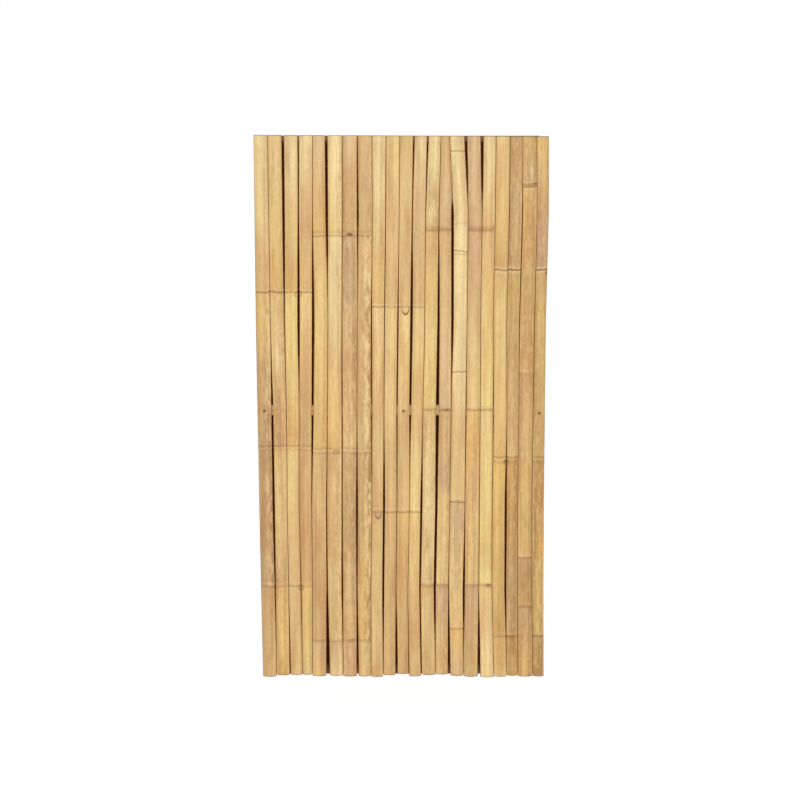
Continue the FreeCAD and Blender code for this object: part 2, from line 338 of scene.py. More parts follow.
# Blotches in the skin: slat, height, place across, half its width and half its height in mm,
# tone, and strength
BLOTCHES = [
    (1, 1620, -8, 6, 150, "bright", 0.6),
    (1, 1400, -6, 14, 90, "clay", 0.6),
    (1, 1010, -3, 18, 80, "grey", 0.6),
    (1, 1020, 13, 5, 90, "pale", 0.6),
    (2, 1740, 0, 16, 45, "blush", 0.5),
    (2, 1130, 2, 12, 90, "pale", 0.55),
    (3, 1225, -4, 16, 60, "bright", 0.6),
    (3, 640, 0, 16, 80, "bright", 0.3),
    (3, 1550, 0, 14, 60, "honey", 0.7),
    (4, 1350, 0, 16, 40, "rosy", 0.6),
    (5, 690, 0, 16, 60, "tan", 0.5),
    (6, 1640, -2, 7, 120, "cream", 0.4),
    (6, 742, 0, 14, 22, "grey", 0.6),
    (7, 1310, -6, 16, 110, "dusk", 0.5),
    (7, 690, 0, 12, 60, "amber", 0.35),
    (8, 1640, 4, 16, 110, "dusk", 0.45),
    (8, 1060, 9, 6, 110, "pale", 0.6),
    (8, 1250, -8, 5, 90, "grey", 0.6),
    (8, 850, -6, 5, 70, "grey", 0.6),
    (8, 520, -4, 5, 60, "grey", 0.6),
    (9, 1660, 0, 16, 80, "pale", 0.5),
    (9, 1185, 0, 18, 50, "pale", 0.7),
    (9, 553, 2, 10, 10, "grey", 0.6),
    (10, 1500, -6, 12, 130, "rosy", 0.4),
    (12, 1740, 0, 18, 70, "pale", 0.8),
    (13, 1705, -4, 13, 50, "cream", 0.75),
    (13, 1560, 0, 16, 30, "cream", 0.65),
    (13, 1420, 0, 18, 50, "rosy", 0.5),
    (13, 1130, 0, 18, 70, "cream", 0.5),
    (13, 460, -6, 12, 45, "tan", 0.45),
    (13, 385, 4, 12, 40, "cream", 0.6),
    (14, 1720, 0, 17, 45, "tan", 0.5),
    (14, 690, 0, 18, 60, "dusk", 0.8),
    (15, 1780, 0, 20, 14, "tan", 0.3),
    (15, 1475, 0, 22, 30, "cream", 0.3),
    (16, 640, 4, 16, 50, "blush", 0.5),
    (17, 390, 0, 18, 45, "cream", 0.6),
    (17, 1670, 0, 16, 80, "pale", 0.5),
    (19, 1480, -13, 3, 150, "bark", 0.9),
    (19, 1500, 11, 4, 120, "bark", 0.9),
    (19, 900, -10, 3, 130, "bark", 0.6),
    (19, 560, 8, 4, 130, "umber", 0.6),
    (19, 1300, 0, 16, 60, "umber", 0.7),
    (20, 1690, 8, 3.5, 28, "pale", 0.9),
    (20, 1520, -4, 14, 80, "amber", 0.4),
    (20, 1725, -12, 5, 50, "bark", 0.6),
    (20, 650, 0, 14, 60, "gold", 0.5),
    (20, 1340, 12, 3, 120, "bark", 0.7),
    (20, 1130, -6, 5, 60, "bark", 0.6),
    (20, 800, 13, 3, 150, "umber", 0.7),
    (20, 560, -12, 3, 90, "umber", 0.7),
    (20, 375, 10, 8, 30, "dusk", 0.7),
    (20, 205, -4, 12, 30, "dusk", 0.6),
    (21, 1490, -2, 15, 80, "dusk", 0.7),
    (21, 450, 10, 8, 36, "orange", 0.5),
    (21, 70, -8, 8, 50, "ochre", 0.6),
]

# Bud scars: slat, height, place across the slat, how wide and high they are, in mm,
# how dark the middle is, and how far the scar rises over its middle as a share of its height
BUD_SCARS = [
    (3, 1287, 20, 9, 9, 0.3, 1),
    (4, 1287, -20, 8, 9, 0.3, 1),
    (3, 308, 19, 8, 9, 0.35, 1),
    (4, 308, -18, 8, 9, 0.35, 1),
    (5, 446, 4, 2.5, 5, 1.0, 1),
    (6, 768, 6, 11, 8, 0.4, 1),
    (7, 1482, 0, 19, 10.5, 1.0, 1),
    (7, 126, 4, 9, 7, 0.5, 1),
    (9, 568, 2, 12, 25, 0.2, 0.25),
    (11, 1249, 3, 13.5, 28, 0.1, 0.25),
    (14, 909, 5, 17, 7, 0.8, 1),
    (17, 316, 9, 16, 8, 0.8, 1),
    (18, 738, 17, 6, 16, 0.85, 0.4),
    (19, 738, -17, 5, 14, 0.85, 0.4),
    (20, 1642, 19, 3, 11, 0.9, 1),
    (21, 1358, 15, 6, 10, 0.9, 1),
]


def linear_blend(first, last, share):
    return first + (last - first) * share


def on_line(rows, z, part):
    """One value of a slat at a height, on straight lines between the rows read from the frame."""
    if z <= rows[0]["z"]:
        return rows[0][part]
    for low, high in zip(rows, rows[1:]):
        if z <= high["z"]:
            share = (z - low["z"]) / (high["z"] - low["z"])
            return linear_blend(low[part], high[part], share)
    return rows[-1][part]


def read_slat(name):
    """The sections of a slat in the frame: its sides, back and crown at each height."""
    levels = {}
    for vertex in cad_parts[name].data.vertices:
        place = (round(vertex.co.x, 6), round(vertex.co.y, 6))
        levels.setdefault(round(vertex.co.z, 5), set()).add(place)
    rows, nodes = [], []
    for z in sorted(levels):
        places = levels[z]
        if len(places) < SECTION_CORNERS:
            continue
        left = min(x for x, _ in places)
        right = max(x for x, _ in places)
        back = max(y for _, y in places)
        crown = min(y for _, y in places)
        radius = (right - left) / 2 / QUARTER
        plain_depth = radius - (radius - WALL) * QUARTER - DRESSING
        if back - crown > plain_depth + NODE_RISE:
            nodes.append(z)
        else:
            rows.append({"z": z, "left": left, "right": right, "back": back,
                         "depth": back - crown})
    return rows, nodes


def swelling_at(form, place):
    """How far a rounded form stands out at a place."""
    rise, middle, reach = form
    return rise * math.exp(-((place - middle) / reach) ** 2)


def node_swelling(dz, sharpness=1.0):
    """How far the skin stands out near a node: a sharp lower lip, a groove and a soft ridge."""
    sharp = swelling_at(NODE_LIP, dz) + swelling_at(NODE_GROOVE, dz)
    return sharpness * sharp + swelling_at(NODE_RIDGE, dz)


def marks_at(marks, dz):
    """How strongly the lines along a node show at a height from it."""
    return min(1.0, sum(strength * math.exp(-((dz / MM - place) / reach) ** 2)
                        for place, reach, strength in marks))


def heights_of(rows, nodes, fine_spots):
    """The heights at which a slat gets a section, close together near nodes and scars."""
    foot, head = rows[0]["z"], rows[-1]["z"]
    heights = [foot, foot + END_STEP, head - END_STEP, head]
    for z in nodes:
        heights += [z + step * MM for step in NODE_STEPS]
    for z, reach in fine_spots:
        count = int(2 * reach / FINE_STEP)
        heights += [z - reach + 2 * reach * step / count for step in range(count + 1)]
    heights = sorted(z for z in heights if foot <= z <= head)
    kept = [heights[0]]
    for z in heights[1:]:
        if z - kept[-1] > LONGEST_STEP:
            pieces = math.ceil((z - kept[-1]) / LONGEST_STEP)
            start = kept[-1]
            kept += [linear_blend(start, z, step / pieces) for step in range(1, pieces)]
        if z - kept[-1] > LEAST_STEP:
            kept.append(z)
    kept[-1] = head
    return kept


def tone_at(tones, nodes, z):
    """The tone of the skin at a height, from the length between nodes that it lies in."""
    edges = [0.0, *nodes, HEAD]
    length = sum(z > node for node in nodes)
    names = part_between(tones, nodes, z).split(">")
    share = (z - edges[length]) / max(edges[length + 1] - edges[length], MM)
    share = min(max(share, 0.0), 1.0)
    share = share * share * (3 - 2 * share)
    first, last = TONES[names[0]], TONES[names[-1]]
    return [linear_blend(a, b, share) for a, b in zip(first, last)]


def arc(left, crown, right, steps):
    """Points on the circle through two ends at one height and a crown midway between them."""
    half = (right[0] - left[0]) / 2
    rise = crown - left[1]
    radius = (half * half + rise * rise) / (2 * rise)
    reach = math.asin(min(1.0, abs(half) / radius))
    middle = (left[0] + right[0]) / 2
    side = math.copysign(1, half)
    points = []
    for step in range(steps + 1):
        turn = reach * (2 * step / steps - 1)
        points.append((middle + side * radius * math.sin(turn),
                       crown - radius * (1 - math.cos(turn))))
    return points


def part_between(values, nodes, z):
    """The value that holds between the nodes where a height lies."""
    return values[sum(z > node for node in nodes)]


def gap_beside(number, side, z):
    """The width of the gap on one side of a slat, or an open one at the panel's own sides."""
    other = number + side
    if other not in SHAPES:
        return OPEN_GAP
    left, right = min(number, other), max(number, other)
    gap = on_line(SHAPES[right][0], z, "left") - on_line(SHAPES[left][0], z, "right")
    return gap if 0 <= gap < OPEN_GAP else OPEN_GAP


def slat_section(rows, z, swell, septum):
    """The outline of a slat at a height: skin, side, back, hollow, back and side."""
    half = (on_line(rows, z, "right") - on_line(rows, z, "left")) / 2
    depth = on_line(rows, z, "depth")
    inner = half / QUARTER - WALL
    axis_depth = inner * QUARTER + DRESSING
    inner_foot = math.sqrt(inner ** 2 - axis_depth ** 2)
    hollow = (inner - axis_depth) * (1 - SEPTUM_FILL * septum)
    skin = arc((-half, CORNER_HEIGHT), depth, (half, CORNER_HEIGHT), SKIN_STEPS)
    inside = arc((inner_foot, 0), hollow, (-inner_foot, 0), HOLLOW_STEPS)
    raised = [(x, y + swell) for x, y in skin]
    return [*raised, (axis_depth, 0), *inside, (-axis_depth, 0)]


def loose_parts(name):
    """The boxes of the separate solids of a node, from left to right."""
    bm = bmesh.new()
    bm.from_mesh(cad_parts[name].data)
    bmesh.ops.remove_doubles(bm, verts=bm.verts, dist=0.01 * MM)
    left, parts = set(bm.verts), []
    while left:
        reached, waiting = set(), [left.pop()]
        while waiting:
            vert = waiting.pop()
            reached.add(vert)
            near = {edge.other_vert(vert) for edge in vert.link_edges} & left
            left -= near
            waiting += near
        places = [vert.co.copy() for vert in reached]
        parts.append((Vector(map(min, *places)), Vector(map(max, *places))))
    bm.free()
    return sorted(parts, key=lambda part: part[0].x)


# The sections and node heights of each slat, and the nails' boxes, all read from the frame
SHAPES = {number: read_slat(f"slat_{number:02d}") for number in SLATS}
NAILS = loose_parts("nails")


def add_blotches(skin_tone, blotches, shift, x, z):
    """The tone of the skin at a place, with the blotches that reach it."""
    for blotch_z, blotch_x, wide, high, tone_name, strength in blotches:
        reach = math.hypot((x - blotch_x * MM) / (wide * MM), (z - blotch_z * MM) / (high * MM))
        reach += 0.4 * noise.noise(Vector((shift, x * 90, z * 22)))
        weight = strength * min(max(1.5 - reach, 0.0), 1.0)
        skin_tone = [linear_blend(a, b, weight) for a, b in zip(skin_tone, TONES[tone_name])]
    return skin_tone


def scar_at(scars, x, z):
    """The nearest bud scar: ring, darkness and strength of its line, and its lift of the skin."""
    ring, darkness, line, lift = NO_SCAR, 0.0, 0.0, 0.0
    for scar_z, scar_x, wide, high, dark, top_share in scars:
        rise = (z - scar_z * MM) / (high * MM)
        reach = math.hypot((x - scar_x * MM) / (wide * MM), rise / top_share if rise > 0 else rise)
        if reach < ring:
            ring, darkness, line = reach, dark, 1 - dark
            if top_share < 1:
                line *= min(max(0.3 - 0.9 * rise, 0.15), 1.0)
        if reach < SCAR_END:
            lift += swelling_at(SCAR_RIM, reach) + swelling_at(SCAR_DENT, reach)
    return ring, darkness, line, lift


def rust_at(nail_places, x, z):
    """How strongly the rust of a nail stains the skin at a place."""
    return max((math.exp(-(math.hypot(x - place.x, z - place.z) / RUST_REACH) ** 2)
                for place in nail_places), default=0.0)


def skin_bumps(shift, share, z):
    """How far the uneven skin stands out at a place."""
    broad = noise.noise(Vector((shift, share * 1.5, z * 14)))
    fine = noise.noise(Vector((shift, share * 7, z * 60)))
    return BROAD_BUMPS * broad * (1 - share * share) + FINE_BUMPS * fine


def side_growth(gap, shift, side, z):
    """How far the skin reaches past the solid on one side, towards the next slat."""
    closing = (OPEN_GAP - gap) / (OPEN_GAP - TIGHT_GAP)
    grown = max(0.0, gap - LEAST_GAP) / 2 * min(max(closing, 0.0), 1.0)
    return EDGE_WANDER * noise.noise(Vector((shift + 5, 2.0 * side, z * 22))) + grown


def line_bend(tilt, start, share):
    """How far the line of a node lies off its height at a place across the slat."""
    bend = tilt * share
    bend += BROAD_BEND * noise.noise(Vector((start, share * 1.7, 0.5)))
    return bend + FINE_BEND * noise.noise(Vector((start, share * 4.2, 7.5)))


def skin_layers(bm):
    """The layers of a bmesh for the values and the tone that the materials read."""
    layers = {name: bm.verts.layers.float.new(name) for name in SKIN_VALUES}
    return layers, bm.verts.layers.float_color.new("tone")


def note_values(vert, layers, values):
    for name, value in values.items():
        vert[layers[name]] = value


def pull_cap(bm, cap, keep_old=False):
    """Extrudes the face at the end of a piece, and gives the new end and its corners."""
    made = bmesh.ops.extrude_face_region(bm, geom=[cap])
    verts = [part for part in made["geom"] if isinstance(part, bmesh.types.BMVert)]
    if not keep_old:
        bmesh.ops.delete(bm, geom=[cap], context="FACES_ONLY")
    return next(part for part in made["geom"] if isinstance(part, bmesh.types.BMFace)), verts


def draw_out(bm, corner, outline, places, shape_level):
    """Draws an outline out along a row of places, with shape_level giving it its form at each."""
    first = [bm.verts.new(point) for point in outline]
    for index, vert in enumerate(first):
        vert[corner] = index
    cap = bm.faces.new(first)
    shape_level(first, places[0])
    for place in places[1:]:
        cap, verts = pull_cap(bm, cap, keep_old=place == places[1])
        shape_level(verts, place)
    bmesh.ops.recalc_face_normals(bm, faces=bm.faces)


def finish_faces(bm, corner, is_skin, arrises, offset):
    """Gives each face its material, and rounds the arrises and the edges of the sawn ends."""
    for face in bm.faces:
        corners = [vert[corner] for vert in face.verts]
        if len(corners) > 4:
            face.material_index = END
        else:
            face.material_index = SKIN if is_skin(corners) else FLESH
    rounded = [edge for edge in bm.edges
               if edge.verts[0][corner] == edge.verts[1][corner]
               and edge.verts[0][corner] in arrises]
    rounded += [edge for edge in bm.edges
                if any(len(face.verts) > 4 for face in edge.link_faces)]
    bmesh.ops.bevel(bm, geom=rounded, offset=offset, offset_type="OFFSET", segments=2,
                    affect="EDGES", profile=0.5, material=-1, clamp_overlap=True)


def build_slat(number):
    """A quarter of a culm, with its skin in front and its hollow behind."""
    name = f"slat_{number:02d}"
    culm, tone_names = SLATS[number]
    tones = tone_names.split()
    looks = NODE_LOOKS[culm]
    peeling = PEELED.get(number, (USUAL_PEELING,) * len(tones))
    rows, nodes = SHAPES[number]
    chance = random.Random(number)
    tilts = [chance.uniform(-1, 1) * NODE_TILT for _ in nodes]
    strengths = [chance.uniform(0.75, 1.1) for _ in nodes]

    # Each slat has its own place in the noise, and so has the line of each of its nodes
    shift = 10.0 * number
    starts = [shift + 3.7 * index for index in range(len(nodes))]

    blotches = [blotch[1:] for blotch in BLOTCHES if blotch[0] == number]
    scars = [scar[1:] for scar in BUD_SCARS if scar[0] == number]
    nail_places = [(low + high) / 2 for low, high in NAILS
                   if on_line(rows, low.z, "left") < low.x < on_line(rows, low.z, "right")]
    fine_spots = [(scar[0] * MM, (scar[3] + SCAR_MARGIN) * MM) for scar in scars]
    fine_spots += [(place.z, NAIL_SPOT) for place in nail_places]
    heights = heights_of(rows, nodes, fine_spots)

    bm = bmesh.new()
    corner = bm.verts.layers.int.new("corner")
    layers, tone = skin_layers(bm)

    def shape_level(verts, z):
        """Moves the corners of one section to their places, and notes what the skin shows there."""
        nearest = min(range(len(nodes)), key=lambda i: abs(z - nodes[i]))
        dz = z - nodes[nearest]
        near = max(0.0, 1 - abs(dz) / NODE_REACH)
        septum = math.exp(-(dz / SEPTUM_REACH) ** 2)
        sharpness, dark_lines, pale_lines = looks[nearest]
        outline = slat_section(rows, z, node_swelling(dz, sharpness), septum)
        left, right = on_line(rows, z, "left"), on_line(rows, z, "right")
        middle, half = (left + right) / 2, (right - left) / 2
        back = on_line(rows, z, "back")
        skin_tone = tone_at(tones, nodes, z)
        gaps = {side: gap_beside(number, side, z) for side in (-1, 1)}
        growth = {side: side_growth(gaps[side], shift, side, z) for side in (-1, 1)}
        for vert in verts:
            x, forward = outline[vert[corner]]
            share = max(-1.0, min(1.0, x / half))
            side = 1 if share > 0 else -1
            if abs(share) > EDGE_START:
                x += growth[side] * share
            ring, darkness, line, lift = scar_at(scars, x, z)
            if vert[corner] <= SKIN_STEPS:
                forward += skin_bumps(shift, share, z) + lift
            bend = line_bend(tilts[nearest], starts[nearest], share)
            lean = 0.6 + 0.8 * share if number in PEELED_RIGHT else 1.0
            vert.co = Vector((middle + x, max(back - forward, FRONT), z + bend * near))
            vert[tone] = add_blotches(skin_tone, blotches, shift, x, z)
            note_values(vert, layers, {
                "across": share,
                # The node's own lines, with painted shade under its ridge and a painted highlight
                # on it
                "node_dark_and_shade": strengths[nearest] * marks_at(dark_lines, dz),
                "node_pale_and_highlight": strengths[nearest] * marks_at(pale_lines, dz),
                "to_end": min(z - heights[0], heights[-1] - z) / MM,
                "scar_ring": ring,
                "scar_dark": darkness,
                "scar_line": line,
                "peeled": part_between(peeling, nodes, z) * max(lean, 0.1),
                # Dirt and painted shade at the skin's edges, the shade darker beside a wider gap
                "edge_dirt_and_shade": 0.5 + 0.5 * (gaps[side] - LEAST_GAP) / (OPEN_GAP - LEAST_GAP),
                "stain": rust_at(nail_places, middle + x, z),
                "grain_shift": GRAIN_SHIFT * number,
            })

    outline = slat_section(rows, heights[0], 0.0, 0.0)
    draw_out(bm, corner, [(x, -y, heights[0]) for x, y in outline], heights, shape_level)
    finish_faces(bm, corner, lambda corners: max(corners) <= SKIN_STEPS, (0, SKIN_STEPS),
                 SLAT_ARRIS)
    return finish_piece(bm, name, (bamboo_skin, bamboo_flesh, bamboo_end), name)


def add_object(name, data):
    made = bpy.data.objects.new(name, data)
    bpy.context.scene.collection.objects.link(made)
    return made


def finish_piece(bm, name, materials, node):
    """Turns a bmesh into a piece that rides on the frame and stands for one of its nodes."""
    mesh = bpy.data.meshes.new(name + "_piece")
    bm.to_mesh(mesh)
    bm.free()
    for material in materials:
        mesh.materials.append(material)
    piece = add_object(name + "_piece", mesh)
    mesh.shade_smooth()
    mesh.set_sharp_from_angle(angle=math.radians(SHARP_ANGLE))
    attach(piece, "root")
    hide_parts(node)
    return piece


# Shader work

def shader_node(tree, kind, inputs=None, **settings):
    """Adds a shader node of a kind with its settings, and links or sets its inputs."""
    made = tree.nodes.new("ShaderNode" + kind)
    for key, value in settings.items():
        setattr(made, key, value)
    for key, value in (inputs or {}).items():
        if isinstance(value, bpy.types.NodeSocket):
            tree.links.new(value, made.inputs[key])
        else:
            made.inputs[key].default_value = value
    return made


def maths(tree, operation, first, second=0.0):
    return shader_node(tree, "Math", {0: first, 1: second}, operation=operation).outputs[0]


def times(tree, first, second):
    return maths(tree, "MULTIPLY", first, second)


def ramp(tree, value, low, high, to_low=0.0, to_high=1.0, smooth=True):
    """Takes a value from one range to another, and keeps it within that one."""
    kind = "SMOOTHSTEP" if smooth else "LINEAR"
    return shader_node(tree, "MapRange", {
        "Value": value, "From Min": low, "From Max": high, "To Min": to_low, "To Max": to_high,
    }, interpolation_type=kind, clamp=True).outputs["Result"]


def mix_colours(tree, factor, first, second, blend="MIX"):
    return shader_node(tree, "Mix", {0: factor, 6: first, 7: second},
                       data_type="RGBA", blend_type=blend).outputs[2]


def painted(tree, colour, paint_name, share):
    """A colour with one of the paints over it, by a share from 0 to 1."""
    return mix_colours(tree, share, colour, PAINTS[paint_name])


def empty_tree(holder, output_kind):
    """Clears the nodes of a material or world, and gives its tree and a new output."""
    holder.use_nodes = True
    holder.node_tree.nodes.clear()
    return holder.node_tree, shader_node(holder.node_tree, output_kind)


def show_mix(tree, output, share, first, second):
    """Shows two shaders mixed by a share from 0, for the first, to 1."""
    mix = shader_node(tree, "MixShader", {0: share, 1: first.outputs[0], 2: second.outputs[0]})
    tree.links.new(mix.outputs[0], output.inputs["Surface"])


def scaled(tree, colour, factor):
    return shader_node(tree, "VectorMath", {0: colour, "Scale": factor},
                       operation="SCALE").outputs[0]


def cloud(tree, vector, scale, detail, roughness=0.5, distortion=0.0):
    return shader_node(tree, "TexNoise", {
        "Vector": vector, "Scale": scale, "Detail": detail, "Roughness": roughness,
        "Distortion": distortion,
    }).outputs["Fac"]


def point_value(tree, name, output="Fac"):
    """What a mesh holds at each corner under a name."""
    return shader_node(tree, "Attribute", attribute_name=name,
                       attribute_type="GEOMETRY").outputs[output]


def new_material(name, roughness, specular):
    material = bpy.data.materials.new(name)
    tree, output = empty_tree(material, "OutputMaterial")
    shader = shader_node(tree, "BsdfPrincipled", {
        "Roughness": roughness, "Specular IOR Level": specular})
    tree.links.new(shader.outputs["BSDF"], output.inputs["Surface"])
    place = shader_node(tree, "TexCoord").outputs["Object"]
    return material, tree, shader, place


# The patterns of the grain: the scale along Z, which is small where a pattern is drawn out
# with the grain, then the scale of the whole, detail, roughness and distortion
PATTERNS = {
    "Fibres": (0.012, 900, 3.0, 0.6),
    "Streaks": (0.025, 190, 3.0, 0.55),
    "Bands": (0.03, 62, 2.0, 0.5),
    "Clouds": (0.22, 19, 3.0, 0.5),
    "Mottles": (0.5, 130, 4.0, 0.6),
    "Patches": (0.28, 100, 4.0, 0.58, 0.3),
}


def make_grain_group():
    """The lengthwise grain of bamboo, with the grain along Z of the vector it is given."""
    group = bpy.data.node_groups.new("bamboo_grain", "ShaderNodeTree")
    group.interface.new_socket("Vector", in_out="INPUT", socket_type="NodeSocketVector")
    for name in PATTERNS:
        group.interface.new_socket(name, in_out="OUTPUT", socket_type="NodeSocketFloat")
    vector = group.nodes.new("NodeGroupInput").outputs["Vector"]
    end = group.nodes.new("NodeGroupOutput")
    for name, (along, *settings) in PATTERNS.items():
        drawn_out = shader_node(group, "Mapping", {
            "Vector": vector, "Scale": (1.0, 1.0, along)}).outputs["Vector"]
        group.links.new(cloud(group, drawn_out, *settings), end.inputs[name])
    return group


grain_group = make_grain_group()


def add_bump(tree, shader, height, distance, strength):
    bump = shader_node(tree, "Bump", {
        "Height": height, "Distance": distance, "Strength": strength})
    tree.links.new(bump.outputs["Normal"], shader.inputs["Normal"])


def grain_of(tree, place, turned):
    """The grain's patterns at object coordinates, also for a piece that lies along X."""
    if turned:
        vector = shader_node(tree, "Mapping", {
            "Vector": place, "Rotation": (0.0, math.radians(90), 0.0)}).outputs["Vector"]
    else:
        shift = shader_node(tree, "CombineXYZ", {"Y": point_value(tree, "grain_shift")})
        vector = shader_node(tree, "VectorMath", {0: place, 1: shift.outputs[0]},
                             operation="ADD").outputs[0]
    return shader_node(tree, "Group", {"Vector": vector}, node_tree=grain_group).outputs


def make_skin(name, turned=False):
    """The glossy outer skin, with its nodes, scars, worn edges and peeled patches."""
    material, tree, shader, place = new_material(name, 0.5, 0.35)
    grain = grain_of(tree, place, turned)
    colour = point_value(tree, "tone", "Color")

    # Broad clouds and fine streaks in the skin, with bands and mottles that peeling strengthens
    peeling = point_value(tree, "peeled")
    colour = scaled(tree, colour, ramp(tree, grain["Clouds"], 0.3, 0.7, 0.94, 1.05))
    rosy = mix_colours(tree, 1.0, colour, PAINTS["rosy cloud"], "MULTIPLY")
    colour = mix_colours(tree, ramp(tree, grain["Clouds"], 0.54, 0.38, 0.0, 0.9), colour, rosy)
    for pattern, low, high, least, more in (("Bands", 0.34, 0.66, 0.075, 0.14),
                                            ("Mottles", 0.3, 0.7, 0.045, 0.1)):
        depth = maths(tree, "ADD", times(tree, peeling, more), least)
        swing = ramp(tree, grain[pattern], low, high, -1.0, 1.0)
        colour = scaled(tree, colour, maths(tree, "ADD", times(tree, swing, depth), 1.0))
    for pattern, dim, bright in (("Streaks", 0.95, 1.05), ("Fibres", 0.96, 1.04)):
        colour = scaled(tree, colour, ramp(tree, grain[pattern], 0.3, 0.7, dim, bright))

    # Places where the outer skin has peeled
    peeled = times(tree, peeling, ramp(tree, grain["Patches"], 0.5, 0.62))
    colour = painted(tree, colour, "new skin", times(tree, peeled, 0.75))
    worn = times(tree, peeling, ramp(tree, grain["Patches"], 0.48, 0.36))
    colour = painted(tree, colour, "worn skin", times(tree, worn, 0.55))

    # Worn, paler edges, with dirt and painted shade where the slats meet, the shade darker beside
    # a wider gap
    side = maths(tree, "ABSOLUTE", point_value(tree, "across"))
    edge = times(tree, ramp(tree, side, 0.78, 0.9),
                 ramp(tree, grain["Bands"], 0.35, 0.6, 0.1, 0.55))
    colour = painted(tree, colour, "worn edge", edge)
    dirt_and_shade = times(tree, ramp(tree, side, 0.87, 0.975),
                 ramp(tree, grain["Mottles"], 0.35, 0.6, 0.6, 1.0))
    dirt_and_shade = times(tree, dirt_and_shade, point_value(tree, "edge_dirt_and_shade"))
    colour = painted(tree, colour, "edge dirt and shade", dirt_and_shade)

    # The nodes: pale lines, partly a painted highlight on the ridge, and dark ones, partly painted
    # shade under it, that come and go a little
    pale = times(tree, point_value(tree, "node_pale_and_highlight"),
                 ramp(tree, grain["Mottles"], 0.65, 0.35, 0.5, 1.0))
    colour = painted(tree, colour, "node pale line and highlight", times(tree, pale, 0.8))
    dark = times(tree, point_value(tree, "node_dark_and_shade"),
                 ramp(tree, grain["Mottles"], 0.35, 0.6, 0.65, 1.0))
    colour = painted(tree, colour, "node dark line and shade", times(tree, dark, 0.85))

    # Bud scars: their ground, the outer and inner line, and the dark middle
    ring = point_value(tree, "scar_ring")
    colour = painted(tree, colour, "scar", ramp(tree, ring, 0.95, 0.6, 0.0, 0.3))
    line = point_value(tree, "scar_line")
    for radius, width, strength in ((0.92, 0.22, 0.95), (0.45, 0.16, 0.15)):
        off = maths(tree, "ABSOLUTE", maths(tree, "SUBTRACT", ring, radius))
        ring_line = times(tree, ramp(tree, off, width, width * 0.3), line)
        colour = painted(tree, colour, "scar line", times(tree, ring_line, strength))
    heart = times(tree, ramp(tree, ring, 0.95, 0.25), point_value(tree, "scar_dark"))
    colour = painted(tree, colour, "scar heart", times(tree, heart, 0.9))

    # The rust round the nails, and grime with painted shade along the sawn ends
    colour = painted(tree, colour, "rust", times(tree, point_value(tree, "stain"), 0.9))
    end_grime_and_shade = ramp(tree, point_value(tree, "to_end"), 3.4, 0.8, 0.0, 0.75)
    colour = painted(tree, colour, "end_grime_and_shade", end_grime_and_shade)
    tree.links.new(colour, shader.inputs["Base Color"])

    tree.links.new(ramp(tree, grain["Patches"], 0.3, 0.7, 0.42, 0.6),
                   shader.inputs["Roughness"])
    tree.links.new(ramp(tree, dirt_and_shade, 0.0, 0.8, 0.35, 0.04, smooth=False),
                   shader.inputs["Specular IOR Level"])
    height = maths(tree, "ADD", times(tree, grain["Fibres"], 0.5),
                   times(tree, grain["Streaks"], 0.8))
    add_bump(tree, shader, height, 0.3 * MM, 0.7)
    return material


def make_flesh(name, turned=False):
    """The split sides and the hollow back: dry, coarse fibres with thin darker lines."""
    material, tree, shader, place = new_material(name, 0.72, 0.1)
    grain = grain_of(tree, place, turned)
    colour = mix_colours(tree, ramp(tree, grain["Clouds"], 0.3, 0.7),
                         PAINTS["dull flesh"], PAINTS["pale flesh"])
    fibres = ramp(tree, grain["Fibres"], 0.55, 0.72, 0.0, 0.5)
    colour = painted(tree, colour, "flesh fibre", fibres)
    patches = ramp(tree, grain["Patches"], 0.55, 0.75, 0.0, 0.4)
    colour = painted(tree, colour, "flesh patch", patches)

    # Dirt and painted shade brown the split sides, the most where the slats nearly touch
    side = maths(tree, "ABSOLUTE", point_value(tree, "across"))
    brown = maths(tree, "SUBTRACT", 1.4, point_value(tree, "edge_dirt_and_shade"))
    brown = times(tree, brown, ramp(tree, side, 0.78, 0.95, 0.0, 0.85))
    colour = painted(tree, colour, "flesh dirt and shade", brown)
    tree.links.new(colour, shader.inputs["Base Color"])
    add_bump(tree, shader, maths(tree, "ADD", grain["Fibres"], grain["Streaks"]), 0.4 * MM, 0.8)
    return material


def make_end():
    """The sawn ends: pale wall with the dark dots of the fibre bundles."""
    material, tree, shader, place = new_material("bamboo_end", 0.8, 0.15)
    dots = shader_node(tree, "TexVoronoi", {"Vector": place, "Scale": 900.0},
                       feature="F1").outputs["Distance"]
    colour = mix_colours(tree, cloud(tree, place, 90, 3.0), PAINTS["dull end"], PAINTS["pale end"])
    colour = painted(tree, colour, "fibre bundle", ramp(tree, dots, 0.42, 0.2, 0.0, 0.75))
    tree.links.new(colour, shader.inputs["Base Color"])
    add_bump(tree, shader, dots, 0.2 * MM, 0.5)
    return material


bamboo_skin = make_skin("bamboo_skin")
bamboo_flesh = make_flesh("bamboo_flesh")
bamboo_end = make_end()
rail_skin = make_skin("rail_skin", turned=True)
rail_flesh = make_flesh("rail_flesh", turned=True)

for number in SLATS:
    build_slat(number)


def make_steel(metal, roughness, metallic):
    """Dull steel of a nail or wire, with spots of rust."""
    material, tree, shader, place = new_material(f"{metal}_steel", roughness, 0.4)
    spots = cloud(tree, place, 420, 4.0, 0.6)
    colour = mix_colours(tree, cloud(tree, place, 150, 3.0), PAINTS[metal],
                         PAINTS[f"bright {metal}"])
    colour = painted(tree, colour, f"{metal} rust", ramp(tree, spots, 0.5, 0.62, 0.0, 0.8))
    tree.links.new(colour, shader.inputs["Base Color"])
    shader.inputs["Metallic"].default_value = metallic
    tree.links.new(ramp(tree, spots, 0.4, 0.65, roughness, 0.85),
                   shader.inputs["Roughness"])
    add_bump(tree, shader, spots, 0.1 * MM, 0.6)
    return material


